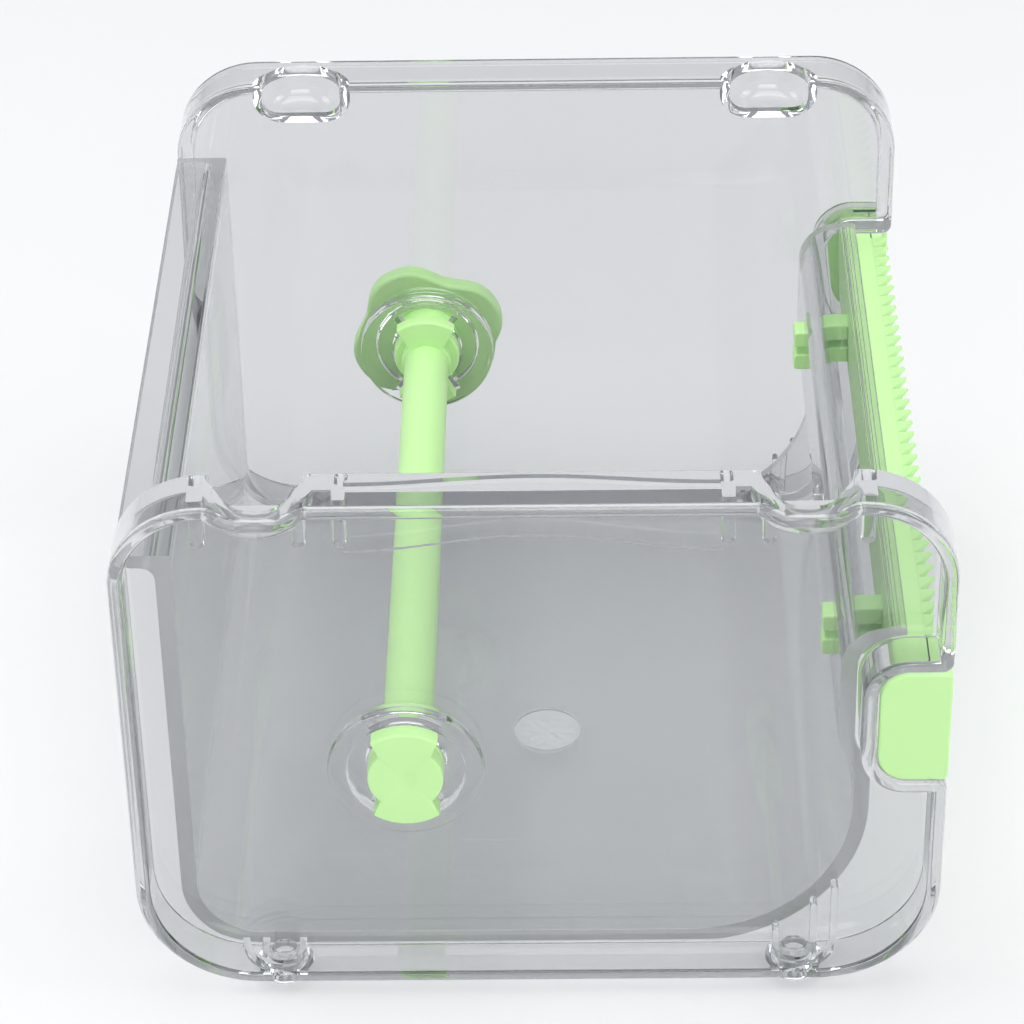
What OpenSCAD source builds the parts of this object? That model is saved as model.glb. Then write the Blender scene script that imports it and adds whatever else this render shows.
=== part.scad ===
// Clear stackable desk tape dispenser and storage box.
// +X points forward to the cutter, +Y along the axle to its knob, +Z up.
// The origin is on the desk, under the middle of the box.

/* [Box] */
// Depth of the box, from the back edge to the cutting edge
body_w = 100; // [96:0.5:104]
// Length of the box along the axle
body_l = 110; // [100:1:160]
// Height of the end panels, without the feet
panel_h = 73; // [70:0.5:78]
// Wall thickness of the trough
wall = 2; // [1.6:0.1:2.4]

/* [End panels] */
// Thickness of the panel plate
plate_t = 2.3; // [1.8:0.1:2.6]
// Depth of the rim that stands out around each plate
rim_depth = 5.4; // [5:0.1:6]
// Thickness of the rim
rim_t = 1.8; // [1.4:0.1:2.2]
// Corner radius at the top of a panel
top_r = 11.5; // [9:0.5:13]
// Corner radius at the bottom of a panel
bottom_r = 15; // [12:0.5:17]

/* [Stacking] */
// Distance of the feet and the recesses from the middle
stack_x = 32.3; // [31:0.1:34]
// Depth of the dips in the top rim at the lugs' end
recess_d = 1.8; // [1.7:0.1:2]
// Radius of the half-round cups inside the top rims
cup_r = 5.4; // [5.2:0.1:5.5]
// Depth of the cups below the panels' top edge
cup_d = 4.7; // [4.4:0.1:5]
// Height of a foot below the panels
foot_h = 1.7; // [1.2:0.1:2.5]
// Radius of a foot where it meets the panel
foot_r = 3.7; // [3.2:0.1:4]

/* [Axle] */
// Distance of the axle behind the middle of the box
axle_back = 16; // [14:0.5:18]
// Height of the axle above the panels' bottom edge
axle_z = 30.6; // [29:0.1:32]
// Radius of the rod that carries the rolls
rod_r = 3.15; // [2.8:0.05:3.5]
// Radius of the round part of the holes in the panels
hole_r = 4.75; // [4.5:0.05:5]
// Radial play between the axle's journals and the holes
axle_play = 0.08; // [0.02:0.01:0.1]
// Radius of the bayonet lugs
lug_r = 6.95; // [6.5:0.05:7.1]
// Radius of the knob over its lobes
knob_r = 11.3; // [10.5:0.1:12]

/* [Cutter] */
// Distance between two teeth
tooth_pitch = 2.6; // [2:0.1:3.4]
// Length of a tooth
tooth_len = 2.2; // [1.6:0.1:2.4]
// Upward slope of the teeth
tooth_slope = 26; // [15:1:35]

/* [Hidden] */

$fn = 64;
eps = 0.01;
far = 40;                                   // longer than any cut needs
clear_tint = [0.86, 0.88, 0.9, 0.45];
foot_tint = [0.8, 0.82, 0.85, 0.6];
green_tint = [0.66, 0.88, 0.52];

panel_depth = rim_depth + plate_t;
inner_l = body_l - 2 * panel_depth;         // distance between the two plates
foot_y = 3.9;                               // feet, measured in from the rim's edge
recess_w = 12.4;                            // width of a dip at its mouth
recess_flat = 3.5;
recess_hollow_r = 3;
recess_swell_r = 2.5;
cup_t = 1.7;                                // wall around a cup
cup_floor_t = 1.8;
cup_round = 1.6;                            // rounds a cup's bottom edge inside

// Notch for the cutter, measured in the plane of a panel
notch_x = 41.2;
notch_z0 = 31.8;
notch_z1 = 48.2;
notch_r = 3.8;
notch_lip_r = 1.4;                          // rounds the notch's two corners at the front edge

// Trough section, measured in the plane of a panel
back_x = -45.1;                             // outer faces of the walls
front_x = 41.2;
floor_z = 0.8;                              // underside of the floor
back_top = 61.8;
back_corner_r = 10;
front_corner_r = 22;
front_step = 2.1;                           // the front wall steps in to clear the cutter
step_z0 = 28.6;
step_z1 = 33.2;
step_fill = 1.3;                            // thickness kept behind the step's slope
ledge_top = notch_z1 + 2;
ledge_x = 44.9;                             // free edge of the ledge over the cutter
ledge_r = 5.5;                              // the front wall turns into the ledge in this radius
flange_t = 1.8;
ridge_t = 0.3;
ledge_ridges = 3;
ledge_ridge_x = 42.7;                       // the ridge nearest the wall
ledge_ridge_w = 0.5;
ledge_ridge_pitch = 0.8;
gate_r = 4.5;
gate_d = 0.25;
gate_x = 1;
gate_y = -6;

// Bayonet holes
boss_r = 9.6;
boss_t = 1.3;                               // on the outer face of the lugs' end panel
inner_boss_r = 9.5;
inner_boss_t = 2.2;                         // on the inner face of the knob's end panel
ledge_depth = 1.5;                          // counterbore in which the lugs turn
counterbore_r = lug_r + 0.3;
slot_half_angle = 39;
lug_half_angle = 36;
journal_r = hole_r - axle_play;
lug_t = 2.8;
far_lug_t = 2;
lug_gap = 0.1;                              // near lugs to the counterbore's floor
far_lug_gap = 1;                            // far lugs to the boss
face_gap = 0.4;                             // knob to the panel
lug_face = rim_depth - boss_t + ledge_depth - lug_gap;
far_lug_face = inner_l + panel_depth - inner_boss_t - far_lug_gap;

// Knob
knob_t = 2.9;
knob_lobes = 4;
knob_wave = 0.95;
knob_turn = 27;
knob_y = panel_depth + inner_l + plate_t + face_gap;
stub_r = 2.4;
stub_len = 2;
stub_play = 0.05;
dish_r = 6.5;
dish_t = 0.6;

// Cutter
cutter_play = 0.2;
end_t = 2;
web_x = 43.3;
web_t = 1.6;
web_foot = 1.5;                             // the web ends this far above the end plates' bottom
strip_t = 1.4;
strip_x = 47.2;
strip_end_x = 48.8;
bar_r = 1;                                  // rounds the bar's top corner at the back
bar_inset = 1;                              // the bar stops short of the end plates' outer faces
peg_y = 32.5;
peg_z = 39.3;
peg_w = 3.2;
peg_h = 6;
peg_gap = 1.2;
peg_reach = 1.4;                            // a peg stands this far inside the wall
peg_play = 0.15;                            // between a peg and its window in the wall
window_w = peg_w + 2 * peg_play;
window_h = peg_h + 2 * peg_play;

// Ribs on the outer face of a panel, under the top rim
rib_t = 1.7;
rib_y = 3;                                  // ribs start this far in from the rim's edge
rib_end_z = panel_h - 7.8;
rib_xs = [-39.3, -27.4, -22.6, 23, 27.8, 39.3];
arch_x = 22.6;
arch_end_z = panel_h - 9.5;
arch_rise = 2.2;
arch_t = 0.8;

// Foot sockets on the bottom rim
socket_r = 1.9;
socket_t = 0.9;
socket_h = 1.2;
socket_arc_r = 4.9;                         // quarter ring around the outboard side
socket_rib_depth = 1.6;
socket_rib_tops = [5.2, 9.3, 12.1];         // on the front sockets; the back ones stay low
stem_r = 1.6;
stem_play = 0.05;

// A rectangle whose bottom and top corners have their own radii, shrunk by inset
module panel_shape(inset) {
    w = body_w - 2 * inset;
    h = panel_h - 2 * inset;
    rb = bottom_r - inset;
    rt = top_r - inset;
    translate([0, inset]) {
        translate([-w / 2, rb]) square([w, h - rb - rt]);
        translate([-w / 2 + rb, 0]) square([w - 2 * rb, rb + eps]);
        translate([-w / 2 + rt, h - rt - eps]) square([w - 2 * rt, rt + eps]);
        for (s = [-1, 1]) {
            translate([s * (w / 2 - rb), rb]) circle(rb);
            translate([s * (w / 2 - rt), h - rt]) circle(rt);
        }
    }
}

// The opening for the cutter, open at the front edge and grown by grow
module notch_shape(grow) {
    r = notch_r + grow;
    h = notch_z1 - notch_z0 + 2 * grow;
    translate([notch_x - grow, notch_z0 - grow]) {
        translate([r, 0]) square([far, h]);
        translate([0, r]) square([r + eps, h - 2 * r]);
        translate([r, r]) circle(r);
        translate([r, h - r]) circle(r);
    }
    if (grow < notch_lip_r)
        for (s = [-1, 1]) {
            edge = s > 0 ? notch_z1 : notch_z0;
            difference() {
                translate([body_w / 2 - notch_lip_r, s > 0 ? edge : edge - notch_lip_r])
                    square([2 * notch_lip_r, notch_lip_r]);
                translate([body_w / 2 - notch_lip_r, edge + s * notch_lip_r])
                    circle(notch_lip_r - grow + eps);
            }
        }
}

// The dip of a stacking recess in the top edge, grown by grow: a hollow round at each side
// of the flat bottom, and a swelling round at each side of the mouth
module recess_shape(grow) {
    hollow = [recess_flat / 2, panel_h - recess_d + recess_hollow_r];
    swell = [recess_w / 2, panel_h - recess_swell_r];
    span = swell - hollow;
    lean = atan2(span.y, span.x) - acos((recess_hollow_r + recess_swell_r) / norm(span));
    side = [cos(lean), sin(lean)];
    low = hollow + (recess_hollow_r + grow) * side;
    high = swell - (recess_swell_r - grow) * side;
    bottom = panel_h - recess_d - grow;
    difference() {
        union() {
            polygon([[-low.x, low.y], [low.x, low.y], [high.x, high.y], [swell.x, high.y],
                     [swell.x, panel_h + 1], [-swell.x, panel_h + 1], [-swell.x, high.y],
                     [-high.x, high.y]]);
            translate([-hollow.x, bottom]) square([2 * hollow.x, recess_d]);
            for (s = [-1, 1])
                translate([s * hollow.x, hollow.y]) circle(recess_hollow_r + grow + eps);
        }
        if (grow < recess_swell_r)
            for (s = [-1, 1])
                translate([s * swell.x, swell.y]) circle(recess_swell_r - grow + eps);
    }
}

// Outline of a panel with its notch, shrunk by inset; a dipped one has a dip over each foot
module panel_outline(dipped, inset = 0) {
    difference() {
        panel_shape(inset);
        notch_shape(inset);
        if (dipped)
            for (s = [-1, 1])
                translate([s * stack_x, 0]) recess_shape(inset);
    }
}

// A shape from the plane of a panel, standing up from depth y0 to depth y1
module stand(y0, y1) {
    translate([0, y1, 0]) rotate([90, 0, 0]) linear_extrude(y1 - y0) children();
}

// Two opposite sectors, above and below the centre
module sectors(r, half_angle) {
    reach = 2 * r;
    side = reach * tan(half_angle);
    intersection() {
        circle(r);
        union()
            for (s = [-1, 1])
                polygon([[0, 0], [-side, s * reach], [side, s * reach]]);
    }
}

module bayonet_hole() {
    circle(hole_r);
    sectors(counterbore_r, slot_half_angle);
}

// The part of the plate's face that is thicker, between the two middle ribs
module arch_shape() {
    sag_r = (arch_x * arch_x + arch_rise * arch_rise) / (2 * arch_rise);
    difference() {
        translate([-arch_x, arch_end_z]) square([2 * arch_x, panel_h - rim_t - arch_end_z]);
        translate([0, arch_end_z + arch_rise - sag_r]) circle(sag_r, $fn = 256);
    }
}

// A low U-shaped wall around a foot's stem, with a quarter ring and three ribs on the plate
module foot_socket(side) {
    wall_r = socket_r + socket_t;
    rib_x = [-wall_r + socket_t / 2, wall_r - socket_t / 2, socket_arc_r];
    translate([side * stack_x, 0, rim_t - eps]) {
        linear_extrude(socket_h) difference() {
            union() {
                translate([0, foot_y]) circle(wall_r);
                translate([-wall_r, foot_y]) square([2 * wall_r, rim_depth - foot_y]);
            }
            translate([0, foot_y]) circle(socket_r);
            translate([-socket_r, foot_y]) square([2 * socket_r, rim_depth]);
        }
        for (i = [0:2]) {
            top = side > 0 ? socket_rib_tops[i] - rim_t : socket_h;
            translate([side * rib_x[i] - socket_t / 2, rim_depth - socket_rib_depth, 0])
                cube([socket_t, socket_rib_depth + eps, top]);
        }
        linear_extrude(socket_h) intersection() {
            translate([0, rim_depth]) difference() {
                circle(socket_arc_r + socket_t / 2);
                circle(socket_arc_r - socket_t / 2);
            }
            translate([side > 0 ? 0 : -far, -far + rim_depth]) square([far, far]);
        }
    }
}

// A round solid that stands on its rounded bottom edge and rises past the panel's top
module cup_solid(r, bottom, edge_r) {
    h = panel_h + 1 - bottom;
    translate([0, 0, bottom]) rotate_extrude() {
        square([r - edge_r, h]);
        translate([0, edge_r]) square([r, h - edge_r]);
        translate([r - edge_r, edge_r]) circle(edge_r);
    }
}

// Puts a solid at both cups, whose middles are on the plate's inner face
module on_cups() {
    for (s = [-1, 1])
        translate([s * stack_x, panel_depth, 0]) children();
}

// What both end panels share: depth runs from the rim's edge at 0 to the plate's inner face
module end_panel(dipped) {
    difference() {
        union() {
            stand(rim_depth, panel_depth) panel_outline(dipped);
            stand(0, rim_depth + eps) difference() {
                panel_outline(dipped);
                panel_outline(dipped, rim_t);
            }
            intersection() {
                stand(0, panel_depth) panel_outline(dipped);
                on_cups() cup_solid(cup_r + cup_t, panel_h - cup_d - cup_floor_t, cup_round + cup_t);
            }
            for (s = [-1, 1]) foot_socket(s);
        }
        on_cups() cup_solid(cup_r, panel_h - cup_d, cup_round);
        for (s = [-1, 1])
            translate([s * stack_x, foot_y, -1]) cylinder(r = stem_r + stem_play, h = rim_t + 2);
    }
}

module at_axle() { translate([-axle_back, axle_z]) children(); }

module lug_panel_shape() {
    difference() {
        union() {
            end_panel(true);
            stand(rim_depth - boss_t, rim_depth + eps) at_axle() circle(boss_r);
            stand(rim_depth - arch_t, rim_depth + eps) arch_shape();
            stand(rib_y, rim_depth + eps)
                for (x = rib_xs)
                    translate([x - rib_t / 2, rib_end_z]) square([rib_t, panel_h - rim_t - rib_end_z]);
        }
        stand(-1, panel_depth + 1) at_axle() bayonet_hole();
        stand(-1, rim_depth - boss_t + ledge_depth) at_axle() circle(counterbore_r);
        on_cups() cup_solid(cup_r, panel_h - cup_d, cup_round);
    }
}

module knob_panel_shape() {
    difference() {
        union() {
            end_panel(false);
            stand(panel_depth - eps, panel_depth + inner_boss_t) at_axle() circle(inner_boss_r);
        }
        stand(-1, panel_depth + inner_boss_t + 1) at_axle() bayonet_hole();
        stand(-1, rim_depth + ledge_depth) at_axle() circle(counterbore_r);
    }
}

module on_lug_end() { translate([0, -body_l / 2, foot_h]) children(); }
module on_knob_end() { translate([0, body_l / 2, foot_h]) mirror([0, 1, 0]) children(); }

module lug_end_panel() { color(clear_tint) on_lug_end() lug_panel_shape(); }
module knob_end_panel() { color(clear_tint) on_knob_end() knob_panel_shape(); }

// A tub section, from its underside up to top; r_b and r_f round the bottom corners
module tub_shape(x_b, x_f, z, r_b, r_f, top) {
    translate([x_b, z + r_b]) square([r_b + eps, top - z - r_b]);
    translate([x_f - r_f, z + r_f]) square([r_f, top - z - r_f]);
    translate([x_b + r_b, z]) square([x_f - x_b - r_b - r_f, top - z]);
    translate([x_b + r_b, z + r_b]) circle(r_b);
    translate([x_f - r_f, z + r_f]) circle(r_f, $fn = 128);
}

module trough_section() {
    inner_step = front_x - wall - front_step;
    difference() {
        tub_shape(back_x, front_x, floor_z, back_corner_r, front_corner_r, back_top);
        tub_shape(back_x + wall, front_x - wall, floor_z + wall, back_corner_r - wall,
                  front_corner_r - wall, back_top + 1);
        translate([front_x - 2 * wall, step_z0]) square([far, far]);
    }
    polygon([[front_x - wall, step_z0 - step_fill], [front_x, step_z0 - eps],
             [front_x - front_step, step_z1], [inner_step, step_z1], [inner_step, step_z1 - step_fill]]);
    translate([inner_step, step_z1 - eps]) square([wall, ledge_top - ledge_r - step_z1 + 2 * eps]);
    translate([inner_step + ledge_r, ledge_top - ledge_r]) intersection() {
        difference() {
            circle(ledge_r + eps);
            circle(ledge_r - wall + eps);
        }
        translate([-far, 0]) square([far + eps, far]);
    }
    translate([inner_step + ledge_r, ledge_top - wall])
        square([ledge_x - inner_step - ledge_r, wall]);
    for (i = [0:ledge_ridges - 1])
        translate([ledge_ridge_x + ledge_ridge_pitch * i, ledge_top - eps])
            square([ledge_ridge_w, ridge_t]);
    // Back flange, with a fillet under it
    translate([-body_w / 2, back_top - flange_t]) square([back_x + wall + body_w / 2, flange_t]);
    translate([back_x - flange_t, back_top - 2 * flange_t]) difference() {
        square([flange_t + eps, flange_t + eps]);
        circle(flange_t);
    }
}

module trough() {
    color(clear_tint) translate([0, -inner_l / 2, foot_h]) difference() {
        stand(0, inner_l) trough_section();
        translate([gate_x, inner_l / 2 + gate_y, floor_z + wall - gate_d]) cylinder(r = gate_r, h = 1);
        for (s = [-1, 1])
            translate([front_x - far / 2, inner_l / 2 + s * peg_y - window_w / 2, peg_z - window_h / 2])
                cube([far / 2, window_w, window_h]);
    }
}

module cutter_end_shape() {
    x0 = notch_x + cutter_play;
    z0 = notch_z0 + cutter_play;
    h = notch_z1 - notch_z0 - 2 * cutter_play;
    r = notch_r - cutter_play;
    translate([x0 + r, z0]) square([body_w / 2 - x0 - r, h]);
    translate([x0, z0 + r]) square([r + eps, h - 2 * r]);
    translate([x0 + r, z0 + r]) circle(r);
    translate([x0 + r, z0 + h - r]) circle(r);
}

// Section of the bar behind the saw edge: a web with a strip along its top
module bar_shape(bottom, top) {
    translate([web_x, bottom]) square([web_t, top - bar_r - bottom]);
    translate([web_x + bar_r, top - strip_t]) square([strip_x - web_x - bar_r, strip_t]);
    translate([web_x + bar_r, top - bar_r]) circle(bar_r);
}

// The saw edge, seen from above
module teeth_shape(count) {
    half = count * tooth_pitch / 2;
    polygon(concat([[-1, -half], [0, -half]],
                   [for (i = [0:count - 1]) each [[tooth_len, -half + (i + 0.5) * tooth_pitch],
                                                  [0, -half + (i + 1) * tooth_pitch]]],
                   [[-1, half]]));
}

module cutter() {
    top = notch_z1 - cutter_play;
    bottom = notch_z0 + cutter_play + web_foot;
    count = floor((inner_l - 1) / tooth_pitch);
    half = body_l / 2 - cutter_play;
    bar_half = half - bar_inset;
    peg_x = front_x - wall - front_step - peg_reach;
    teeth_half = count * tooth_pitch / 2;
    color(green_tint) translate([0, 0, foot_h]) {
        for (s = [-1, 1]) {
            translate([0, s > 0 ? half - end_t : -half, 0]) stand(0, end_t) cutter_end_shape();
            translate([strip_x - eps, s > 0 ? teeth_half : -bar_half, top - strip_t])
                cube([strip_end_x - strip_x, bar_half - teeth_half, strip_t]);
            // Snap peg: two prongs with a slot between them
            for (p = [-1, 1])
                translate([peg_x, s * peg_y - peg_w / 2, peg_z + (p > 0 ? peg_gap / 2 : -peg_h / 2)])
                    cube([web_x - peg_x + eps, peg_w, (peg_h - peg_gap) / 2]);
        }
        stand(-bar_half, bar_half) bar_shape(bottom, top);
        translate([strip_x, 0, top]) rotate([0, -tooth_slope, 0]) translate([0, 0, -1])
            linear_extrude(1) teeth_shape(count);
    }
}

module lug_shape(core_r) {
    circle(core_r);
    sectors(lug_r, lug_half_angle);
}

module on_axle() { translate([-axle_back, -body_l / 2, foot_h + axle_z]) children(); }

module axle_rod() {
    near_lug_y = lug_face - lug_t;
    stub_y = knob_y - lug_gap;
    color(green_tint) on_axle() {
        stand(near_lug_y, lug_face) lug_shape(journal_r);
        stand(lug_face - eps, panel_depth + 0.2) circle(journal_r);
        stand(panel_depth, far_lug_face) circle(rod_r);
        stand(far_lug_face - far_lug_t, far_lug_face) lug_shape(rod_r);
        stand(far_lug_face - eps, stub_y) circle(journal_r);
        stand(stub_y - eps, stub_y + stub_len) circle(stub_r);
    }
}

module knob_shape() {
    steps = 96;
    mean_r = knob_r - knob_wave;
    polygon([for (i = [0:steps - 1])
        let (a = 360 * i / steps, r = mean_r + knob_wave * cos(knob_lobes * (a - knob_turn)))
        [r * cos(a), r * sin(a)]]);
}

module axle_knob() {
    color(green_tint) on_axle() difference() {
        stand(knob_y, knob_y + knob_t) knob_shape();
        stand(knob_y - 1, knob_y + stub_len) circle(stub_r + stub_play);
        stand(knob_y + knob_t - dish_t, knob_y + knob_t + 1) circle(dish_r);
    }
}

// A foot: a low dome with a flat tread, on a stem that presses into the rim
module foot() {
    tread_r = 2;
    centre_z = (foot_r * foot_r + foot_h * foot_h - tread_r * tread_r) / (2 * foot_h);
    dome_r = sqrt(tread_r * tread_r + centre_z * centre_z);
    color(foot_tint) {
        intersection() {
            translate([0, 0, centre_z]) sphere(dome_r);
            cylinder(r = 2 * foot_r, h = foot_h);
        }
        translate([0, 0, foot_h - eps]) cylinder(r = stem_r, h = rim_t + socket_h + eps);
    }
}

module foot_at(x_side, y_side) {
    translate([x_side * stack_x, y_side * (body_l / 2 - foot_y), 0]) foot();
}

trough();
knob_end_panel();
lug_end_panel();
cutter();
axle_rod();
axle_knob();
foot_at(1, 1);  // foot_front_knob
foot_at(-1, 1);  // foot_back_knob
foot_at(1, -1);  // foot_front_lug
foot_at(-1, -1);  // foot_back_lug
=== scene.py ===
"""Looks of the clear desk tape dispenser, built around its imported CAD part. Lengths are in millimetres
until mesh_object() turns them into metres; +X is forward, +Y along the axle to the knob, +Z up."""

import math

import bpy
import bmesh
from mathutils import Matrix, Vector, noise


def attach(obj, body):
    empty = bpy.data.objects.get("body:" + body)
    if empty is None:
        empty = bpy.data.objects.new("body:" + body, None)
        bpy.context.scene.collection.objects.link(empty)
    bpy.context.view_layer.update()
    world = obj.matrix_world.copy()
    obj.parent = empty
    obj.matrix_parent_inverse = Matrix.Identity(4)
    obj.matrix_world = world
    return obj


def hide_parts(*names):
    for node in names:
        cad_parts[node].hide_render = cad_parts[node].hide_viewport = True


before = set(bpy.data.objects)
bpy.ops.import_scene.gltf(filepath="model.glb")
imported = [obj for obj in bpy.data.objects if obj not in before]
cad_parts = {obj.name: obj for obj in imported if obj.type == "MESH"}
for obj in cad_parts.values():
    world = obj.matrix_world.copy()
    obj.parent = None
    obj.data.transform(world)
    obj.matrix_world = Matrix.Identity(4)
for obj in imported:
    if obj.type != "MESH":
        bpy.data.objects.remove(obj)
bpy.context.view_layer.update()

MM = 0.001
FOOT = 1.7                # the panels stand this far above the desk
HALF_W, HALF_L = 50.0, 55.0
PANEL_H = 73.0
RIM_T, RIM_DEPTH = 1.8, 5.4
PANEL_DEPTH = 7.7         # rim and plate together
HALF_IN = HALF_L - PANEL_DEPTH
BURIED = 0.5              # how deep a part that is joined on reaches into the plate

# Stacking: feet below, cups in the top rims above them
STACK_X, STACK_Y = 32.3, 3.9   # from the middle, and in from the rim's edge
STEM_R = 1.6
DIP = 1.8                 # the dips in the top rim at the lugs' end
MOUTH, MOUTH_R = 6.2, 2.5      # half the width of a dip at its mouth, and the round there
CUP_R, CUP_D = 5.4, 4.7

# Axle and the holes it turns in
AXLE = (-16.0, 30.6)      # x, and height above the panels' bottom edge
HOLE_R, JOURNAL_R, ROD_R = 4.75, 4.67, 3.15
LUG_R, LUG_HALF = 6.95, 36.0
SLOT_R, SLOT_HALF = 7.25, 39.0   # the slots and the counterbore in which the lugs turn
COUNTERBORE = 1.5
BOSS_R, BOSS = 9.6, 1.3   # on the outer face at the lugs' end
INNER_BOSS_R, INNER_BOSS = 9.5, 2.2   # on the inner face at the knob's end
KNOB_Y = HALF_IN + 2.3 + 0.4     # the knob's inner face, clear of the plate

# Cutter and the notch it sits in
NOTCH = (41.2, 31.8, 48.2)       # x, bottom and top
NOTCH_R, LIP_R = 3.8, 1.4
PEG_Y, PEG_Z, PEG_HALF = 32.5, 41.0, 3.0
STRIP_X = 47.2                   # edge of the strip that carries the teeth
FLOOR_TOP, WALL = 2.8, 2.0
GATE = (1.0, -6.0, FLOOR_TOP + FOOT)     # the middle of the gate mark on the floor


# ---------------------------------------------------------------- outlines

def arc(cx, cz, r, a0, a1, n, convex=True):
    """Points of an arc that can be offset: (centre, radius, directions, bisector, cos of half, convex)."""
    angles = [math.radians(a0 + (a1 - a0) * i / n) for i in range(n + 1)]
    mid = math.radians((a0 + a1) / 2)
    half = math.radians(abs(a1 - a0) / 2)
    return ((cx, cz), r, [(math.cos(a), math.sin(a)) for a in angles],
            (math.cos(mid), math.sin(mid)), math.cos(half), convex)


def offset_loop(arcs, inset):
    points = []
    for (cx, cz), r, dirs, (bx, bz), ch, convex in arcs:
        rr = r - inset if convex else r + inset
        if convex and rr < 0:
            points += [(cx + rr / ch * bx, cz + rr / ch * bz)] * len(dirs)
        else:
            points += [(cx + rr * dx, cz + rr * dz) for dx, dz in dirs]
    return points


def dip_arcs(cx):
    """A dip in the top rim, from its front end to its back end."""
    hollow_r, flat = 3.0, 1.75
    hollow_z, mouth_z = PANEL_H - DIP + hollow_r, PANEL_H - MOUTH_R
    dx, dz = MOUTH - flat, mouth_z - hollow_z
    lean = math.degrees(math.atan2(dz, dx) - math.acos((hollow_r + MOUTH_R) / math.hypot(dx, dz)))
    return [
        arc(cx + MOUTH, mouth_z, MOUTH_R, 90, 180 + lean, 8),
        arc(cx + flat, hollow_z, hollow_r, lean, -90, 9, False),
        arc(cx - flat, hollow_z, hollow_r, -90, -180 - lean, 9, False),
        arc(cx - MOUTH, mouth_z, MOUTH_R, -lean, 90, 8),
    ]


def panel_arcs(dipped):
    """A panel's outline, from its bottom front corner up to the front and round to the back."""
    low_r, high_r = 15.0, 11.5
    x, bottom, top = NOTCH
    arcs = [
        arc(HALF_W - low_r, low_r, low_r, -90, 0, 30),
        arc(HALF_W - LIP_R, bottom - LIP_R, LIP_R, 0, 90, 8),
        arc(x + NOTCH_R, bottom + NOTCH_R, NOTCH_R, -90, -180, 14, False),
        arc(x + NOTCH_R, top - NOTCH_R, NOTCH_R, 180, 90, 14, False),
        arc(HALF_W - LIP_R, top + LIP_R, LIP_R, -90, 0, 8),
        arc(HALF_W - high_r, PANEL_H - high_r, high_r, 0, 90, 26),
    ]
    if dipped:
        arcs += dip_arcs(STACK_X) + dip_arcs(-STACK_X)
    arcs.append(arc(high_r - HALF_W, PANEL_H - high_r, high_r, 90, 180, 26))
    arcs.append(arc(low_r - HALF_W, low_r, low_r, 180, 270, 30))
    return arcs


def rounded(points, n=6):
    """A closed polygon [(x, z, radius)] with its corners rounded, in about n steps per radian."""
    out = []
    count = len(points)
    for i, (x, z, r) in enumerate(points):
        px, pz, _ = points[i - 1]
        qx, qz, _ = points[(i + 1) % count]
        if r <= 0:
            out.append((x, z))
            continue
        a, b = Vector((px - x, pz - z)).normalized(), Vector((qx - x, qz - z)).normalized()
        half = a.angle(b) / 2
        reach = r / math.tan(half)
        centre = Vector((x, z)) + (a + b).normalized() * (r / math.sin(half))
        start, end = Vector((x, z)) + a * reach - centre, Vector((x, z)) + b * reach - centre
        turn = start.angle_signed(end)
        steps = max(2, min(40, round(abs(turn) * n * max(1, math.sqrt(r / 2)))))
        for k in range(steps + 1):
            t = -turn * k / steps
            c, s = math.cos(t), math.sin(t)
            out.append((centre.x + start.x * c - start.y * s, centre.y + start.x * s + start.y * c))
    return out


def quarter(t0, d0, t1, d1, n=4, bulge="first"):
    """A quarter ellipse from (t0, d0) to (t1, d1); it leaves along d if bulge is first, else along t."""
    out = []
    for k in range(n + 1):
        a = math.pi / 2 * k / n
        if bulge == "first":
            out.append((t1 + (t0 - t1) * math.cos(a), d0 + (d1 - d0) * math.sin(a)))
        else:
            out.append((t0 + (t1 - t0) * math.sin(a), d1 + (d0 - d1) * math.cos(a)))
    return out


# ---------------------------------------------------------------- meshes

def add_rings(bm, rings):
    """Quads between rings of the same length; returns the rings' vertices."""
    made = [[bm.verts.new(p) for p in ring] for ring in rings]
    for a, b in zip(made, made[1:]):
        for i in range(len(a)):
            j = (i + 1) % len(a)
            bm.faces.new((a[i], a[j], b[j], b[i]))
    return made


def closed_rings(rings):
    """A solid from rings of the same length, with a flat face on the first and on the last."""
    bm = bmesh.new()
    made = add_rings(bm, rings)
    bm.faces.new(list(reversed(made[0])))
    bm.faces.new(made[-1])
    bmesh.ops.recalc_face_normals(bm, faces=bm.faces)
    return bm


def clean(bm, dist=0.002):
    bmesh.ops.remove_doubles(bm, verts=bm.verts, dist=dist)
    bmesh.ops.dissolve_degenerate(bm, edges=bm.edges, dist=dist / 2)
    bmesh.ops.recalc_face_normals(bm, faces=bm.faces)


def fill_flat(bm, y, tol=1e-3):
    """Fills everything open in the plane at y."""
    edges = [e for e in bm.edges if e.is_boundary and all(abs(v.co.y - y) < tol for v in e.verts)]
    bmesh.ops.triangle_fill(bm, use_beauty=True, use_dissolve=False, edges=edges)


def mesh_object(name, bm, material, smooth=35):
    """bm in millimetres becomes an object in metres with soft edges up to the smooth angle."""
    bmesh.ops.recalc_face_normals(bm, faces=bm.faces)
    bmesh.ops.scale(bm, vec=(MM, MM, MM), verts=bm.verts)
    limit = math.radians(smooth)
    for f in bm.faces:
        f.smooth = True
    for e in bm.edges:
        e.smooth = len(e.link_faces) != 2 or e.calc_face_angle(0) < limit
    mesh = bpy.data.meshes.new(name)
    bm.to_mesh(mesh)
    bm.free()
    obj = bpy.data.objects.new(name, mesh)
    bpy.context.scene.collection.objects.link(obj)
    mesh.materials.append(material)
    mod = obj.modifiers.new("normals", "WEIGHTED_NORMAL")
    mod.keep_sharp = True
    mod.weight = 60
    return obj


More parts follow.
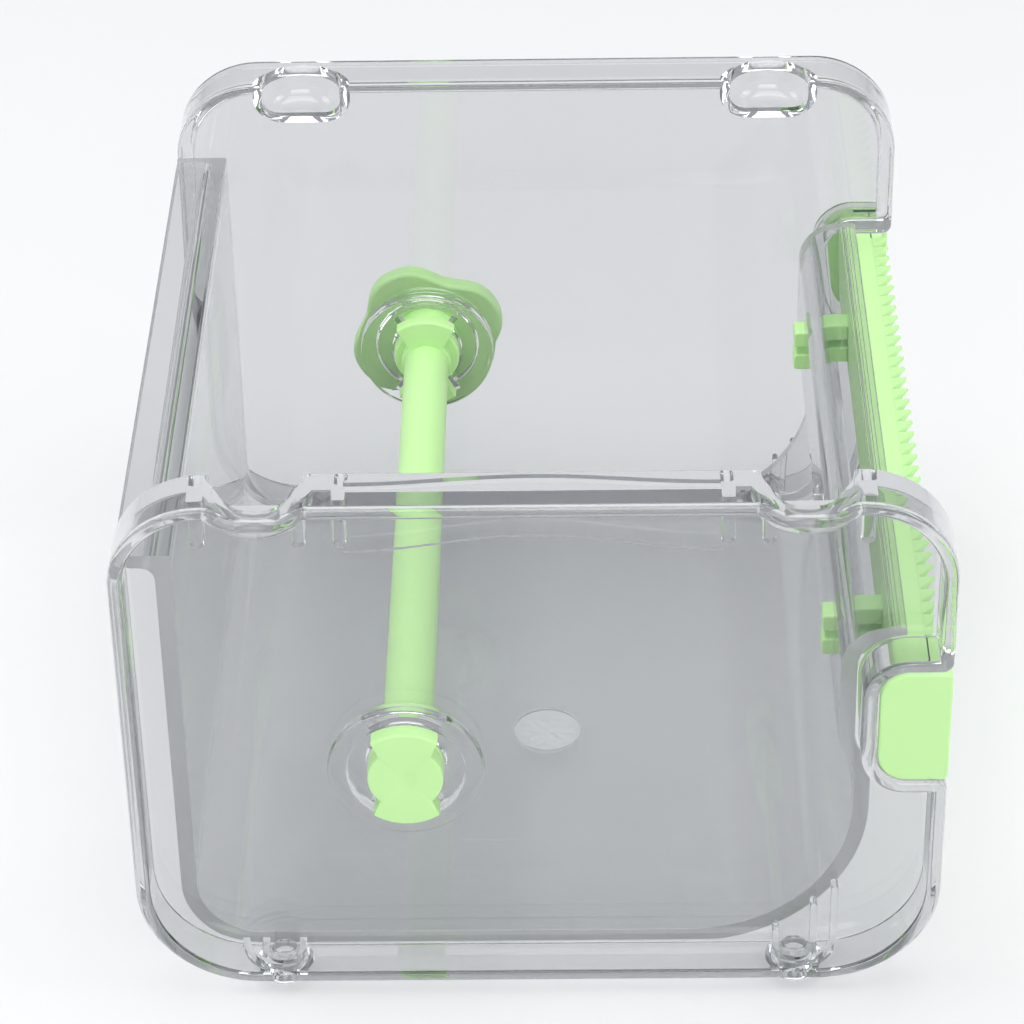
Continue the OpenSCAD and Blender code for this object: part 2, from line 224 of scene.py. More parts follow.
def combine(bm, tools, operation):
    """Boolean of bm with the tools (a list of bmeshes), exact; returns a new bmesh."""
    objs = []
    for b in [bm] + tools:
        bmesh.ops.recalc_face_normals(b, faces=b.faces)
        mesh = bpy.data.meshes.new("tmp")
        b.to_mesh(mesh)
        b.free()
        obj = bpy.data.objects.new("tmp", mesh)
        bpy.context.scene.collection.objects.link(obj)
        objs.append(obj)
    base = objs[0]
    collection = bpy.data.collections.new("tools")
    for obj in objs[1:]:
        collection.objects.link(obj)
    mod = base.modifiers.new("boolean", "BOOLEAN")
    mod.operation = operation
    mod.solver = "EXACT"
    mod.operand_type = "COLLECTION"
    mod.collection = collection
    mod.use_self = operation == "UNION"
    evaluated = base.evaluated_get(bpy.context.evaluated_depsgraph_get())
    result = bmesh.new()
    result.from_mesh(evaluated.to_mesh())
    evaluated.to_mesh_clear()
    for obj in objs:
        mesh = obj.data
        bpy.data.objects.remove(obj)
        bpy.data.meshes.remove(mesh)
    bpy.data.collections.remove(collection)
    return result


def shrunk(outline, r):
    """The outline with each point moved r towards the inside, at right angles to its neighbours' line."""
    cx = sum(p[0] for p in outline) / len(outline)
    cz = sum(p[1] for p in outline) / len(outline)
    out = []
    for i, (x, z) in enumerate(outline):
        px, pz = outline[i - 1]
        qx, qz = outline[(i + 1) % len(outline)]
        tx, tz = qx - px, qz - pz
        length = math.hypot(tx, tz) or 1
        nx, nz = tz / length, -tx / length
        if (x - cx) * nx + (z - cz) * nz < 0:
            nx, nz = -nx, -nz
        out.append((x - nx * r, z - nz * r))
    return out


def prism(outline, y0, y1, round0=0.0, round1=0.0, steps=3):
    """Extrudes a roughly convex outline [(x, z)] along y; each end's edge is rounded."""
    turns = [math.pi / 2 * k / steps for k in range(steps + 1)]
    profile = [(0.0, y0)]
    if round0:
        profile = [(round0 * (1 - math.sin(a)), y0 + round0 * (1 - math.cos(a))) for a in turns]
    if round1:
        profile += [(round1 * (1 - math.cos(a)), y1 - round1 * (1 - math.sin(a))) for a in turns]
    else:
        profile.append((0.0, y1))
    return closed_rings([[(x, y, z) for x, z in shrunk(outline, t)] for t, y in profile])


def star_prism(centre, radii, y0, y1, soft0, soft1, steps=4, dimple=False):
    """A solid along y whose outline is a radius for each angle, with rounded rims; each end is a fan."""
    count = len(radii)
    angles = [2 * math.pi * i / count for i in range(count)]
    directions = [(math.cos(a), math.sin(a)) for a in angles]
    profile = quarter(soft0, y0, 0.0, y0 + soft0, steps, "second")
    profile += quarter(0.0, y1 - soft1, soft1, y1, steps, "first")
    rings = []
    for t, y in profile:
        rings.append([(centre[0] + (r - t) * dx, y, centre[1] + (r - t) * dz)
                      for r, (dx, dz) in zip(radii, directions)])
    start = y0
    if dimple:
        for r, y in ((1.5, y0), (1.3, y0 + 0.05), (0.7, y0 + 0.22)):
            rings.insert(0, [(centre[0] + r * dx, y, centre[1] + r * dz) for dx, dz in directions])
        start = y0 + 0.25
    bm = bmesh.new()
    made = add_rings(bm, rings)
    for ring, y in ((made[0], start), (made[-1], y1)):
        middle = bm.verts.new((centre[0], y, centre[1]))
        for i in range(count):
            bm.faces.new((ring[i], ring[(i + 1) % count], middle))
    bmesh.ops.recalc_face_normals(bm, faces=bm.faces)
    return bm


def box_bm(x0, y0, z0, x1, y1, z1):
    """A plain box, used as a tool."""
    bm = bmesh.new()
    bmesh.ops.create_cube(bm, size=1)
    bmesh.ops.scale(bm, vec=(x1 - x0, y1 - y0, z1 - z0), verts=bm.verts)
    bmesh.ops.translate(bm, vec=((x0 + x1) / 2, (y0 + y1) / 2, (z0 + z1) / 2), verts=bm.verts)
    return bm


def revolve(profile, n=96, axis="y", centre=(0, 0, 0)):
    """A round solid from [(radius, place along the axis)]."""
    rings = []
    for r, t in profile:
        ring = []
        for i in range(n):
            a = 2 * math.pi * i / n
            u, v = r * math.cos(a), r * math.sin(a)
            p = (u, t, v) if axis == "y" else (u, v, t)
            ring.append((p[0] + centre[0], p[1] + centre[1], p[2] + centre[2]))
        rings.append(ring)
    return closed_rings(rings)


def half_round(x, z, r, first, n=8):
    """Half a circle's points, from the first angle on."""
    angles = [math.radians(first + 180 * k / n) for k in range(n + 1)]
    return [(x + r * math.cos(a), z + r * math.sin(a)) for a in angles]


def stadium(x, z0, z1, r, up=True, down=True):
    """Outline of a rib: 2r wide, from z0 to z1, round at its lower end, its upper end or both."""
    low = half_round(x, z0 + r, r, 180) if down else [(x - r, z0), (x + r, z0)]
    high = half_round(x, z1 - r, r, 0) if up else [(x + r, z1), (x - r, z1)]
    return low + high


# ---------------------------------------------------------------- end panels

def to_end(bm, side):
    """From a panel's coordinates (x, depth, height) to the part's frame; side -1 is the lug end."""
    for v in bm.verts:
        x, d, z = v.co
        v.co = (x, side * (HALF_L - d), z + FOOT)
    bmesh.ops.recalc_face_normals(bm, faces=bm.faces)


def slot_radius(angle):
    """Radius of the bayonet hole at an angle in degrees; its two slots point up and down."""
    away = min(abs((angle - 90 + 180) % 360 - 180), abs((angle + 90 + 180) % 360 - 180))
    return SLOT_R if away < SLOT_HALF else HOLE_R


def hub_angles():
    """Every 2.5 degrees, and close to both sides of each slot's edges."""
    edges = [c + s * (SLOT_HALF + e) for c in (90, 270) for s in (-1, 1) for e in (-0.6, 0.6)]
    return sorted(set([i * 2.5 for i in range(144)] + edges))


def hub_ring(angles, radii, depth):
    return [(AXLE[0] + r * math.cos(math.radians(a)), depth, AXLE[1] + r * math.sin(math.radians(a)))
            for a, r in zip(angles, radii)]


def round_rings(profile):
    """Rings around the axle from [(radius, depth)]."""
    angles = hub_angles()
    return [hub_ring(angles, [r] * len(angles), depth) for r, depth in profile]


def slot_rings(profile):
    """Rings along the bayonet hole's outline from [(offset outwards, depth, largest radius)]."""
    angles = hub_angles()
    return [hub_ring(angles, [min(slot_radius(a) + grow, most) for a in angles], depth)
            for grow, depth, most in profile]


def bore_rings(top, end, lead):
    """The counterbore from its mouth at depth top, and the bayonet hole down to depth end."""
    floor = top + COUNTERBORE
    rings = round_rings(quarter(SLOT_R + lead, top, SLOT_R, top + lead, 3, "second"))
    rings += round_rings([(SLOT_R, floor - 0.2), (SLOT_R - 0.15, floor)])
    rings += slot_rings([(0.25, floor, SLOT_R - 0.15), (0.0, floor + 0.25, SLOT_R), (0.0, end - 0.3, SLOT_R),
                         (0.3, end, 9)])
    return rings


def outer_hub(bm):
    """Boss on the outer face, with the counterbore in which the lugs turn."""
    top = RIM_DEPTH - BOSS
    rings = round_rings(quarter(BOSS_R + 0.5, RIM_DEPTH, BOSS_R, RIM_DEPTH - 0.5, 4, "second"))
    rings += round_rings(quarter(BOSS_R, top + 0.4, BOSS_R - 0.4, top, 4, "first"))
    add_rings(bm, rings + bore_rings(top, PANEL_DEPTH, 0.35))


def inner_hub(bm):
    """Counterbore in the outer face, and a boss on the inner one."""
    end = PANEL_DEPTH + INNER_BOSS
    rings = bore_rings(RIM_DEPTH, end, 0.3)
    r = INNER_BOSS_R
    rings += round_rings(quarter(r - 0.5, end, r, end - 0.5, 4, "second"))
    rings += round_rings(quarter(r, PANEL_DEPTH + 0.4, r + 0.4, PANEL_DEPTH, 4, "first"))
    add_rings(bm, rings)


def dip_stamp(lift):
    """What a dip in the rim removes, raised a little, as a solid along the depth."""
    line = [(x, z + lift) for x, z in offset_loop(dip_arcs(0), 0)]
    line = [p for i, p in enumerate(line) if i == 0 or p != line[i - 1]]
    top = PANEL_H + 3
    outline = [(line[0][0], top)] + line + [(line[-1][0], top)]
    return closed_rings([[(x, d, z) for x, z in outline] for d in (-1, PANEL_DEPTH + 1)])


def cup_profile(r, bottom, edge, top, flare=0.0):
    """A cup's half section, rounded at its bottom edge and widened by flare at the panel's top."""
    points = [(0.01, bottom)] + quarter(r - edge, bottom, r, bottom + edge, 8, "second")
    if flare:
        points += quarter(r, PANEL_H - flare, r + flare, PANEL_H, 5, "first")
    return points + [(r + flare, top), (0.01, top)]


def cup_walls(dipped):
    """The half-round wall of each cup, inside the panel."""
    wall, floor = 1.7, 1.8
    section = cup_profile(CUP_R + wall, PANEL_H - CUP_D - floor, 2.0 + wall, PANEL_H - 0.3)
    tools = [box_bm(-10, PANEL_DEPTH - 0.02, 50, 10, PANEL_DEPTH + 20, 90)]
    if dipped:
        tools.append(dip_stamp(0.02))
    one = combine(revolve(section, 96, "z", (0, PANEL_DEPTH, 0)), tools, "DIFFERENCE")
    walls = []
    for s in (-1, 1):
        walls.append(one.copy())
        bmesh.ops.translate(walls[-1], vec=(s * STACK_X, 0, 0), verts=walls[-1].verts)
    one.free()
    return walls


def panel_bm(outer):
    """An end panel; outer is the lugs' one, with a dipped rim and its boss, ribs and arch outside."""
    arcs = panel_arcs(dipped=outer)
    fillet = 0.5
    profile = quarter(0.55, PANEL_DEPTH, 0.0, PANEL_DEPTH - 0.55, 4, "second")
    profile += quarter(0.0, 0.75, 0.75, 0.0, 5, "first")
    profile += quarter(RIM_T - 0.6, 0.0, RIM_T, 0.6, 5, "second")
    profile += quarter(RIM_T, RIM_DEPTH - fillet, RIM_T + fillet, RIM_DEPTH, 4, "first")
    bm = bmesh.new()
    add_rings(bm, [[(x, d, z) for x, z in offset_loop(arcs, t)] for t, d in profile])
    (outer_hub if outer else inner_hub)(bm)
    clean(bm)
    fill_flat(bm, RIM_DEPTH)
    fill_flat(bm, PANEL_DEPTH)
    clean(bm)
    parts = cup_walls(dipped=outer) + socket_parts(-1) + socket_parts(1)
    if outer:
        parts += rib_parts() + [arch_part()]
    bm = combine(bm, parts, "UNION")
    bore = STEM_R + 0.05
    pocket = cup_profile(CUP_R, PANEL_H - CUP_D, 2.0, PANEL_H + 2, 0.8)
    tools = []
    for s in (-1, 1):
        tools.append(revolve([(bore, -1.0), (bore, RIM_T + 0.02)], 40, "z", (s * STACK_X, STACK_Y, 0)))
        tools.append(revolve(pocket, 96, "z", (s * STACK_X, PANEL_DEPTH, 0)))
    bm = combine(bm, tools, "DIFFERENCE")
    clean(bm)
    return bm


def rib_parts():
    """Ribs under the top rim."""
    parts = []
    for x in (-39.3, -27.4, -22.6, 23.0, 27.8, 39.3):
        outline = stadium(x, PANEL_H - 7.8, PANEL_H - 0.9, 0.85, up=False)
        parts.append(prism(outline, 3.0, RIM_DEPTH + BURIED, 0.35, 0.0))
    return parts


def arch_part():
    """The thicker part of the plate between the two middle ribs, with a bell curve for its lower edge."""
    half, rise, base, steps = 22.3, 2.2, PANEL_H - 9.5, 40
    xs = [2 * half * k / steps - half for k in range(steps + 1)]
    curve = [(x, base + rise * (0.5 + 0.5 * math.cos(math.pi * x / half))) for x in xs]
    pad = [(-half, PANEL_H - 0.9)] + curve + [(half, PANEL_H - 0.9)]
    return closed_rings([[(x, d, z) for x, z in pad] for d in (RIM_DEPTH - 0.8, RIM_DEPTH + BURIED)])


def socket_parts(side):
    """The U wall around a foot's stem, a quarter ring on its outboard side and three ribs on the plate."""
    cx, cy = side * STACK_X, STACK_Y
    r0, r1, height = 1.9, 2.8, 1.2
    z0, z1 = RIM_T - 0.4, RIM_T + height
    end = RIM_DEPTH + 0.4
    turns = [math.pi * k / 20 for k in range(21)]
    wall = [(cx - r1 * math.cos(a), cy - r1 * math.sin(a)) for a in turns]
    wall += [(cx + r1, end), (cx + r0, end)]
    wall += [(cx + r0 * math.cos(a), cy - r0 * math.sin(a)) for a in turns]
    wall += [(cx - r0, end), (cx - r1, end)]
    q0, q1 = 4.45, 5.35
    turns = [math.pi / 2 * (k / 12 - 1) for k in range(13)]
    ring = [(cx + side * q1 * math.cos(a), RIM_DEPTH + q1 * math.sin(a)) for a in turns]
    ring += [(cx + side * q1, end), (cx + side * q0, end)]
    ring += [(cx + side * q0 * math.cos(a), RIM_DEPTH + q0 * math.sin(a)) for a in reversed(turns)]
    parts = [closed_rings([[(x, y, z) for x, y in outline] for z in (z0, z1)]) for outline in (wall, ring)]
    tops = (5.2, 9.3, 12.1) if side > 0 else (z1 + 0.02,) * 3
    for x, top in zip((-2.35, 2.35, 4.9), tops):
        outline = stadium(cx + side * x, z0, top, 0.45, down=False)
        parts.append(prism(outline, RIM_DEPTH - 1.6, RIM_DEPTH + BURIED, 0.2, 0.0))
    return parts


# ---------------------------------------------------------------- trough

def trough_section():
    """The trough's outline in the plane of a panel, as [(x, z, radius)]."""
    back, front, step = -45.1, NOTCH[0], 39.1
    edge, flange, flange_t = -HALF_W, 61.8, 1.8
    underside = FLOOR_TOP - WALL
    ledge, ledge_end, ledge_r = NOTCH[2] + WALL, 44.9, 5.5
    ridges = []
    for x in (43.5, 42.7):
        ridges += [(x + 0.5, ledge, 0.06), (x + 0.5, ledge + 0.3, 0.18)]
        ridges += [(x, ledge + 0.3, 0.18), (x, ledge, 0.04)]
    return [
        (edge, flange, 0.4), (edge, flange - flange_t, 0.4), (back, flange - flange_t, 1.8),
        (back, underside, 10), (front, underside, 22), (front, 28.6, 1.2), (step, 33.2, 1.2),
        (step, NOTCH[2], ledge_r - WALL), (ledge_end, NOTCH[2], 0.5), (ledge_end, ledge, 0.5),
        *ridges,
        (step - WALL, ledge, ledge_r), (step - WALL, 33.0, 1.5), (front - WALL, 28.4, 1.5),
        (front - WALL, FLOOR_TOP, 20), (back + WALL, FLOOR_TOP, 8), (back + WALL, flange, 0.4),
    ]


def trough_bm():
    """The trough, with windows for the cutter's pegs and a gate mark in the floor."""
    outline = rounded(trough_section())
    ends = (0.02 - HALF_IN, HALF_IN - 0.02)
    bm = bmesh.new()
    add_rings(bm, [[(x, y, z + FOOT) for x, z in outline] for y in ends])
    clean(bm)
    for y in ends:
        fill_flat(bm, y)
    clean(bm)
    half_w, half_h = 1.75, PEG_HALF + 0.15
    cuts = [box_bm(36, y - half_w, PEG_Z - half_h, 40.4, y + half_w, PEG_Z + half_h) for y in (-PEG_Y, PEG_Y)]
    bm = combine(bm, cuts + [gate_stamp()], "DIFFERENCE")
    clean(bm)
    return bm


def gate_stamp():
    """A round stamp with an uneven face, pressed into the floor where the plastic came in."""
    count, radii = 48, [4.5, 4.45, 4.0, 3.5, 3.0, 2.5, 2.0, 1.5, 1.0, 0.5]
    face = GATE[2] - 0.28
    rings = []
    for r in radii:
        ring = []
        for i in range(count):
            a = 2 * math.pi * i / count
            x, y = r * math.cos(a), r * math.sin(a)
            waves = 0.28 * noise.noise(Vector((x * 1.3, y * 1.3, 3.1)))
            waves += 0.16 * noise.noise(Vector((x * 3.1, y * 3.1, 7.7)))
            level = r in (radii[0], radii[1], radii[-1])
            ring.append((GATE[0] + x, GATE[1] + y, face + (0.0 if level else waves)))
        rings.append(ring)
    return closed_rings([[(x, y, z + 2) for x, y, z in rings[0]]] + rings)


# ---------------------------------------------------------------- cutter

def cutter_end():
    """Outline of an end plate, which fills the notch with a little play."""
    play = 0.2
    x, bottom, top = NOTCH[0] + play, NOTCH[1] + play + FOOT, NOTCH[2] - play + FOOT
    r = NOTCH_R - play
    return rounded([(x, bottom, r), (HALF_W, bottom, 0.7), (HALF_W, top, 0.7), (x, top, r)])


def tooth(middle, pitch, length, top):
    """A small wedge that slopes up to its point, from the strip's edge at height top."""
    slope = math.radians(26)
    half, tip = pitch / 2, 0.12
    outline = [(-1, -half, 1), (0, -half, 1), (length - 0.1, -tip, 0.45), (length, 0, 0.45),
               (length - 0.1, tip, 0.45), (0, half, 1), (-1, half, 1)]

    def place(u, v, t):
        return (STRIP_X + u * math.cos(slope) + t * math.sin(slope), middle + v,
                top + u * math.sin(slope) - t * math.cos(slope))

    # The lower face isn't flat, so its shape depends on the order of its corners
    bm = bmesh.new()
    upper = [bm.verts.new(place(u, v, 0)) for u, v, t in outline]
    lower = [bm.verts.new(place(u - 0.1 if u > 0 else u, v, t)) for u, v, t in outline]
    bm.faces.new(upper)
    bm.faces.new(list(reversed(lower)))
    for k in range(len(upper)):
        m = (k + 1) % len(upper)
        bm.faces.new((upper[k], lower[k], lower[m], upper[m]))
    bmesh.ops.recalc_face_normals(bm, faces=bm.faces)
    return bm


def cutter_bms():
    """End plates, bar, lips beside the teeth, snap pegs and teeth, as closed shells."""
    play, half, plate = 0.2, 53.8, 2.0
    web, web_t, strip_t, lip_x = 43.3, 1.6, 1.4, 48.8
    bottom, top = NOTCH[1] + play + FOOT, NOTCH[2] - play + FOOT
    count, pitch, length = 36, 2.6, 2.2
    edge = count * pitch / 2
    bar = rounded([(web, bottom + 1.5, 0.3), (web + web_t, bottom + 1.5, 0.3),
                   (web + web_t, top - strip_t, 0.4), (STRIP_X + 0.05, top - strip_t, 0.0),
                   (STRIP_X + 0.05, top, 0.0), (web, top, 1.0)])
    lip = rounded([(STRIP_X - 0.2, top - strip_t, 0.1), (lip_x, top - strip_t, 0.35), (lip_x, top, 0.35),
                   (STRIP_X - 0.2, top, 0.1)])
    parts = [closed_rings([[(x, y, z) for x, z in bar] for y in (-half, half)])]
    for s in (-1, 1):
        outer = HALF_L - play
        ends = sorted((s * (outer - plate), s * outer))
        parts.append(prism(cutter_end(), ends[0], ends[1], 0.35, 0.35))
        ends = sorted((s * (edge + 0.1), s * half))
        parts.append(prism(lip, ends[0], ends[1]))
        for low, high in ((-PEG_HALF, -0.6), (0.6, PEG_HALF)):
            prong = rounded([(35.7, PEG_Z + low, 0.5), (web + 0.1, PEG_Z + low, 0.2),
                             (web + 0.1, PEG_Z + high, 0.2), (35.7, PEG_Z + high, 0.5)])
            parts.append(prism(prong, s * PEG_Y - 1.6, s * PEG_Y + 1.6, 0.25, 0.25))
    parts += [tooth(-edge + (i + 0.5) * pitch, pitch, length, top) for i in range(count)]
    return parts


# ---------------------------------------------------------------- axle

def lug_radii(core, root, n=720):
    """A round core with an upper and a lower lug, as radii by angle; root is where a lug's sides end."""
    def at(r, angle):
        return Vector((r * math.sin(math.radians(angle)), r * math.cos(math.radians(angle))))

    corner = at(LUG_R, LUG_HALF)
    side = at(core, root) - corner
    radii = []
    for i in range(n):
        a = 360.0 * i / n
        away = min(abs((a - 90 + 180) % 360 - 180), abs((a + 90 + 180) % 360 - 180))
        if away <= LUG_HALF:
            radii.append(LUG_R)
        elif away >= root:
            radii.append(core)
        else:
            radii.append(corner.cross(side) / at(1, away).cross(side))
    return radii


def axle_bms():
    """Near lugs, journal, rod, far lugs, journal and the stub in the knob, as closed shells."""
    middle = (AXLE[0], AXLE[1] + FOOT)
    lug_gap, near_t, far_gap, far_t, stub_r, edge_r = 0.1, 2.8, 1.0, 2.0, 2.4, 4.4
    near = -HALF_L + RIM_DEPTH - BOSS + COUNTERBORE - lug_gap
    far = HALF_IN - INNER_BOSS - far_gap

    def turned(profile, n=96):
        return revolve(profile, n, "y", (middle[0], 0, middle[1]))

    return [
        star_prism(middle, lug_radii(JOURNAL_R, 43.5), near - near_t, near, 0.3, 0.2, dimple=True),
        turned([(edge_r, near - 0.01), (JOURNAL_R, near + 0.2), (JOURNAL_R, 0.1 - HALF_IN),
                (edge_r, 0.2 - HALF_IN)]),
        turned([(ROD_R, -HALF_IN), (ROD_R, far - 1.0)]),
        star_prism(middle, lug_radii(3.6, 44.0), far - far_t, far, 0.3, 0.3),
        turned([(edge_r, far - 0.01), (JOURNAL_R, far + 0.2), (JOURNAL_R, KNOB_Y - 0.3),
                (edge_r, KNOB_Y - 0.1)]),
        turned([(stub_r, KNOB_Y - 0.2), (stub_r, KNOB_Y + 1.8), (stub_r - 0.2, KNOB_Y + 1.9)], 64),
    ]


def knob_bm():
    """The knob: four broad lobes, a blind hole for the stub and a dish in its outer face."""
    count, mean, wave, lobes, turn = 192, 10.35, 0.95, 4, math.radians(27)
    y0, y1, hole = KNOB_Y, KNOB_Y + 2.9, 2.45
    angles = [2 * math.pi * i / count for i in range(count)]

    def ring(radii, y):
        return [(AXLE[0] + r * math.cos(a), y, AXLE[1] + FOOT + r * math.sin(a))
                for r, a in zip(radii, angles)]

    def lobed(inset, y):
        waves = [1 - 2 * (0.5 - 0.5 * math.cos(lobes * (a - turn))) ** 1.5 for a in angles]
        return ring([mean + wave * w - inset for w in waves], y)

    def disc(r, y):
        return ring([r] * count, y)

    rings = [disc(hole, y0 + 2.0), disc(hole, y0)]
    rings += [lobed(t, y) for t, y in quarter(0.6, y0, 0.0, y0 + 0.6, 4, "second")]
    rings += [lobed(t, y) for t, y in quarter(0.0, y1 - 0.9, 0.9, y1, 6, "first")]
    rings += [disc(r, y) for r, y in quarter(6.8, y1, 6.4, y1 - 0.3, 3, "second")]
    rings += [disc(r, y) for r, y in quarter(6.4, y1 - 0.35, 6.1, y1 - 0.6, 3, "first")]
    bm = closed_rings(rings)
    clean(bm)
    return bm


def foot_bm(x, y):
    """A low dome with a flat tread, on a stem."""
    tread, height, rim = 2.0, FOOT, 3.7
    centre = (rim * rim + height * height - tread * tread) / (2 * height)
    radius = math.hypot(tread, centre)
    profile = [(0.4, 0.0), (tread - 0.4, 0.0), (tread + 0.05, 0.04)]
    for k in range(1, 9):
        z = height * k / 9
        profile.append((math.sqrt(radius * radius - (z - centre) ** 2), z))
    top = height - 0.01
    profile += [(rim - 0.02, height - 0.08), (rim - 0.1, top)]
    profile += [(STEM_R, top), (STEM_R, 4.4), (STEM_R - 0.25, 4.6)]
    return revolve(profile, 64, "z", (x, y, 0))


# ---------------------------------------------------------------- materials

def new_material(name):
    """An empty node material and its tree."""
    mat = bpy.data.materials.new(name)
    mat.use_nodes = True
    tree = mat.node_tree
    tree.nodes.clear()
    return mat, tree


def add_node(tree, kind, **values):
    """A node of that type; each value is a number or colour for, or a link to, the input of that name."""
    node = tree.nodes.new("ShaderNode" + kind)
    for name, value in values.items():
        socket = node.inputs[name.replace("_", " ")]
        if isinstance(value, bpy.types.NodeSocket):
            tree.links.new(value, socket)
        else:
            socket.default_value = value
    return node


def add_math(tree, operation, *values):
    """A Math node's result; each value is a number or a link."""
    node = tree.nodes.new("ShaderNodeMath")
    node.operation = operation
    for socket, value in zip(node.inputs, values):
        if isinstance(value, bpy.types.NodeSocket):
            tree.links.new(value, socket)
        else:
            socket.default_value = value
    return node.outputs["Value"]


def dull_mask(tree, place):
    """One on the trough's end faces and on the gate mark, else zero."""
    geometry = add_node(tree, "NewGeometry")
    normal = add_node(tree, "SeparateXYZ", Vector=geometry.outputs["True Normal"])
    is_end = add_math(tree, "GREATER_THAN", add_math(tree, "ABSOLUTE", normal.outputs["Y"]), 0.98)
    away = tree.nodes.new("ShaderNodeVectorMath")
    away.operation = "DISTANCE"
    away.inputs[1].default_value = (GATE[0] * MM, GATE[1] * MM, (GATE[2] - 0.1) * MM)
    tree.links.new(place, away.inputs[0])
    is_gate = add_math(tree, "LESS_THAN", away.outputs["Value"], 4.55 * MM)
    return add_math(tree, "MAXIMUM", is_end, is_gate)


def clear_plastic(name, tint, haze, dull_ends=False):
    """Clear plastic; tint is the colour of a wall, haze the smallest and largest roughness."""
    mat, tree = new_material(name)
    place = add_node(tree, "TexCoord").outputs["Object"]
    cloud = add_node(tree, "TexNoise", Vector=place, Scale=60, Detail=4)
    spread = add_node(tree, "MapRange", Value=cloud.outputs["Fac"], From_Min=0.35, From_Max=0.75,
                      To_Min=haze[0], To_Max=haze[1])
    rough = spread.outputs["Result"]
    glass = add_node(tree, "BsdfPrincipled", Base_Color=(*tint, 1), Transmission_Weight=1.0, IOR=1.5)
    if dull_ends:
        dull = dull_mask(tree, place)
        rough = add_math(tree, "MULTIPLY_ADD", dull, 0.4, rough)
        tree.links.new(add_math(tree, "MULTIPLY_ADD", dull, -0.5, 1.0), glass.inputs["Transmission Weight"])
    tree.links.new(rough, glass.inputs["Roughness"])
    # Lamps shine through, and rays caught between a wall's two faces leave it instead of ending in black
    path = add_node(tree, "LightPath")
    through = path.outputs["Is Shadow Ray"]
    for output, limit in (("Glossy Depth", 2.5), ("Ray Depth", 9.5)):
        over = add_math(tree, "GREATER_THAN", path.outputs[output], limit)
        through = add_math(tree, "MAXIMUM", through, over)
    clear = add_node(tree, "BsdfTransparent", Color=(*SHADE, 1))
    mix = add_node(tree, "MixShader", Fac=through)
    tree.links.new(glass.outputs["BSDF"], mix.inputs[1])
    tree.links.new(clear.outputs["BSDF"], mix.inputs[2])
    add_node(tree, "OutputMaterial", Surface=mix.outputs["Shader"])
    return mat


def green_plastic():
    mat, tree = new_material("green_plastic")
    place = add_node(tree, "TexCoord").outputs["Object"]
    cloud = add_node(tree, "TexNoise", Vector=place, Scale=45)
    shades = tree.nodes.new("ShaderNodeMix")
    shades.data_type = "RGBA"
    shades.inputs["A"].default_value = (0.53, 0.86, 0.35, 1)
    shades.inputs["B"].default_value = (0.58, 0.90, 0.41, 1)
    tree.links.new(cloud.outputs["Fac"], shades.inputs["Factor"])
    bsdf = add_node(tree, "BsdfPrincipled", Base_Color=shades.outputs["Result"], Roughness=0.38, IOR=1.5,
                    Subsurface_Weight=0.2, Subsurface_Radius=(0.002, 0.003, 0.001))
    add_node(tree, "OutputMaterial", Surface=bsdf.outputs["BSDF"])
    return mat


def pale_floor():
    mat, tree = new_material("pale_floor")
    bsdf = add_node(tree, "BsdfDiffuse", Color=(0.8, 0.8, 0.8, 1))
    add_node(tree, "OutputMaterial", Surface=bsdf.outputs["BSDF"])
    return mat


TINT = (0.74, 0.747, 0.757)
SHADE = (0.82, 0.825, 0.83)     # what a lamp's light keeps on its way through a face
CLEAR = clear_plastic("clear_plastic", TINT, (0.0, 0.03))
TROUGH = clear_plastic("clear_trough", TINT, (0.0, 0.03), dull_ends=True)
SOFT = clear_plastic("clear_foot", (0.88, 0.89, 0.9), (0.04, 0.1))
GREEN = green_plastic()


# ---------------------------------------------------------------- assembly

def piece(name, bm, material, body, node):
    obj = mesh_object(name, bm, material)
    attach(obj, body)
    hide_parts(node)
    return obj


def merged(parts):
    """Several closed shells as one bmesh."""
    result = bmesh.new()
    for part in parts:
        mesh = bpy.data.meshes.new("tmp")
        part.to_mesh(mesh)
        part.free()
        result.from_mesh(mesh)
        bpy.data.meshes.remove(mesh)
    return result


for side, node in ((-1, "lug_end_panel"), (1, "knob_end_panel")):
    bm = panel_bm(side < 0)
    to_end(bm, side)
    piece(node + "_look", bm, CLEAR, "box", node)
piece("trough_look", trough_bm(), TROUGH, "box", "trough")
piece("cutter_look", merged(cutter_bms()), GREEN, "box", "cutter")
piece("axle_rod_look", merged(axle_bms()), GREEN, "axle", "axle_rod")
piece("axle_knob_look", knob_bm(), GREEN, "axle", "axle_knob")
for sx, xn in ((1, "front"), (-1, "back")):
    for sy, yn in ((1, "knob"), (-1, "lug")):
        foot = foot_bm(sx * STACK_X, sy * (HALF_L - STACK_Y))
        piece(f"foot_{xn}_{yn}_look", foot, SOFT, "box", f"foot_{xn}_{yn}")


# ---------------------------------------------------------------- stage, light and camera

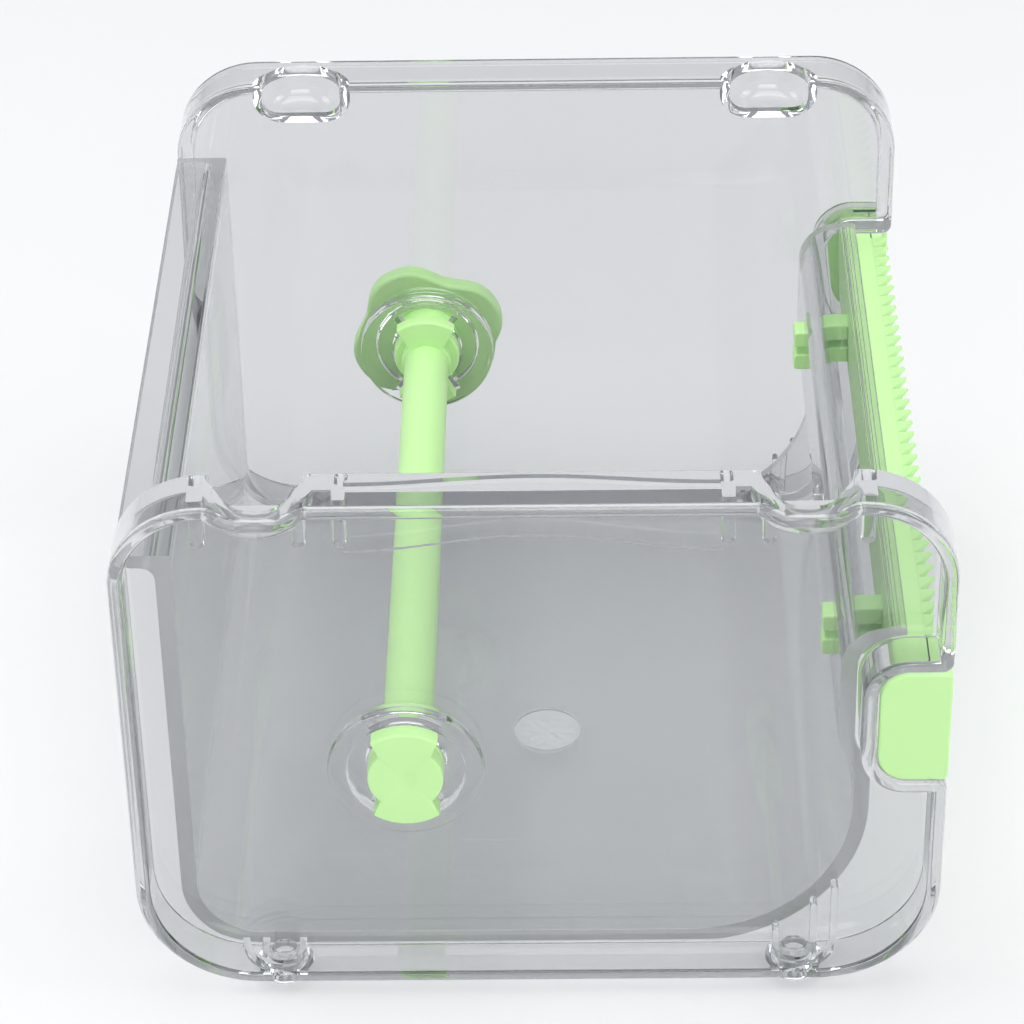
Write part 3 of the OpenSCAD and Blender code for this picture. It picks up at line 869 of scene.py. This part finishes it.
def floor(size):
    """A wide plane on which the box stands."""
    bm = bmesh.new()
    bmesh.ops.create_grid(bm, x_segments=1, y_segments=1, size=size)
    mesh = bpy.data.meshes.new("floor")
    bm.to_mesh(mesh)
    bm.free()
    mesh.materials.append(pale_floor())
    obj = bpy.data.objects.new("floor", mesh)
    bpy.context.scene.collection.objects.link(obj)


floor(4.0)


def area(name, place, target, width, height, watts):
    data = bpy.data.lights.new(name, "AREA")
    data.shape = "RECTANGLE"
    data.size, data.size_y = width, height
    data.energy = watts
    obj = bpy.data.objects.new(name, data)
    bpy.context.scene.collection.objects.link(obj)
    obj.location = place
    obj.rotation_mode = "QUATERNION"
    obj.rotation_quaternion = (Vector(target) - Vector(place)).to_track_quat("-Z", "Y")


area("overhead", (0.0, 0.05, 0.9), (0, 0, 0), 0.8, 0.8, 4.6)
area("front", (0.05, -0.9, 0.5), (0, 0, 0.03), 0.9, 0.5, 3.6)
area("left", (-0.75, 0.1, 0.4), (0, 0, 0.03), 0.4, 0.7, 2.2)
area("right", (0.75, -0.1, 0.45), (0, 0, 0.03), 0.35, 0.6, 1.8)

world = bpy.data.worlds.new("studio")
bpy.context.scene.world = world
world.use_nodes = True
back = world.node_tree.nodes["Background"]
back.inputs["Color"].default_value = (0.93, 0.95, 1.0, 1)
back.inputs["Strength"].default_value = 0.45

camera_data = bpy.data.cameras.new("camera")
camera = bpy.data.objects.new("camera", camera_data)
bpy.context.scene.collection.objects.link(camera)
camera_data.lens = 132.45
camera_data.sensor_width = 36
camera_data.clip_start, camera_data.clip_end = 0.01, 10
right = Vector((0.99981, 0.00872, -0.01707)).normalized()
up = Vector((0.00903, 0.5717, 0.82042)).normalized()
behind = right.cross(up).normalized()
up = behind.cross(right)
camera.matrix_world = Matrix((
    (right.x, up.x, behind.x, 0.00515),
    (right.y, up.y, behind.y, -0.41175),
    (right.z, up.z, behind.z, 0.32261),
    (0, 0, 0, 1)))
bpy.context.scene.camera = camera
bpy.context.scene.view_settings.view_transform = "Standard"
